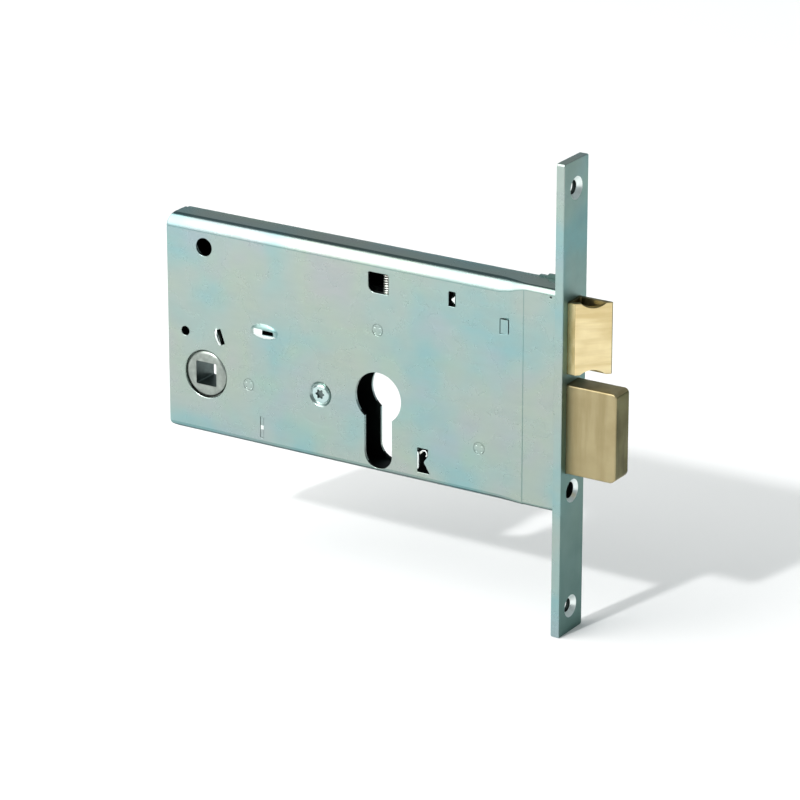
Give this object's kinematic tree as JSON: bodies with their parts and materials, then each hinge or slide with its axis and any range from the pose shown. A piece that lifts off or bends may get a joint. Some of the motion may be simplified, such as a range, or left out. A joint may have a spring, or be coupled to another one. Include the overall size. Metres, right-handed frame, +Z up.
{
  "type": "mortise lock",
  "caption": "Mortise lock with a long narrow sheet-steel case, slim forend, bevelled latch bolt, square deadbolt, lever follower and profile-cylinder cut-out.",
  "frame": {"origin": "outer face of the forend, in the middle of the web between the latch and deadbolt openings, half way across the forend's width", "axes": "+X out of the forend, the way the bolts are thrown; +Z up along the forend; the front of the case faces -Y"},
  "size_m": [0.171, 0.015, 0.16],
  "materials": {
    "case_zinc": "bright zinc plate",
    "forend_zinc": "bright zinc plate",
    "screw_zinc": "zinc plate",
    "steel_blank": "stamped steel",
    "spring_steel": "drawn wire",
    "latch_brass": "machined, pale",
    "deadbolt_brass": "satin nickel on brass",
    "follower_zamak": "die-cast"
  },
  "bodies": {
    "case": {"case_shell": "case_zinc", "back_cover": "case_zinc", "forend": "forend_zinc", "cover_screw": "screw_zinc", "screw_pillar": "steel_blank", "bolt_guide_post": "steel_blank", "bolt_front_post": "steel_blank", "spring_post": "steel_blank", "tumbler_post": "steel_blank", "latch_guide": "case_zinc", "spring_seat": "steel_blank", "bolt_leaf_spring": "spring_steel", "follower_spring": "spring_steel", "tumbler_spring": "spring_steel", "latch_spring": "spring_steel"},
    "latch": {"latch_head": "latch_brass", "latch_tail": "steel_blank", "latch_rivet": "steel_blank"},
    "link": {"latch_link": "steel_blank", "link_pin": "steel_blank"},
    "follower_body": {"follower": "follower_zamak"},
    "deadbolt": {"deadbolt_head": "deadbolt_brass", "deadbolt_tail": "steel_blank", "bolt_stump": "steel_blank", "deadbolt_rivet_upper": "steel_blank", "deadbolt_rivet_lower": "steel_blank"},
    "tumbler_body": {"tumbler": "steel_blank"}
  },
  "joints": [
    {"name": "follower_turn", "type": "hinge", "parent": "case", "child": "follower_body", "pos_m": [-0.138, 0, -0.02435], "axis": [0, -1, 0], "range_deg": [0, 33.1], "stiffness_Nm_per_rad": 0.12, "springref_deg": -22.92, "deforming": ["follower_spring"]},
    {"name": "link_slide", "type": "slide", "parent": "case", "child": "link", "axis": [1, 0, 0], "range_m": [-0.0114, 0]},
    {"name": "latch_slide", "type": "slide", "parent": "case", "child": "latch", "axis": [1, 0, 0], "range_m": [-0.0114, 0], "stiffness_N_per_m": 250, "springref_m": 0.01, "deforming": ["latch_spring"]},
    {"name": "deadbolt_slide", "type": "slide", "parent": "case", "child": "deadbolt", "axis": [1, 0, 0], "range_m": [-0.018, 0]},
    {"name": "tumbler_lift", "type": "slide", "parent": "case", "child": "tumbler_body", "axis": [0, 0, 1], "range_m": [-0.0025, 0], "stiffness_N_per_m": 150, "springref_m": -0.01, "deforming": ["tumbler_spring"]}
  ],
  "couplings": [
    {"joint": "follower_turn", "follows": "latch_slide", "rad_per_m": -50.67},
    {"joint": "link_slide", "follows": "latch_slide", "ratio": 1}
  ]
}
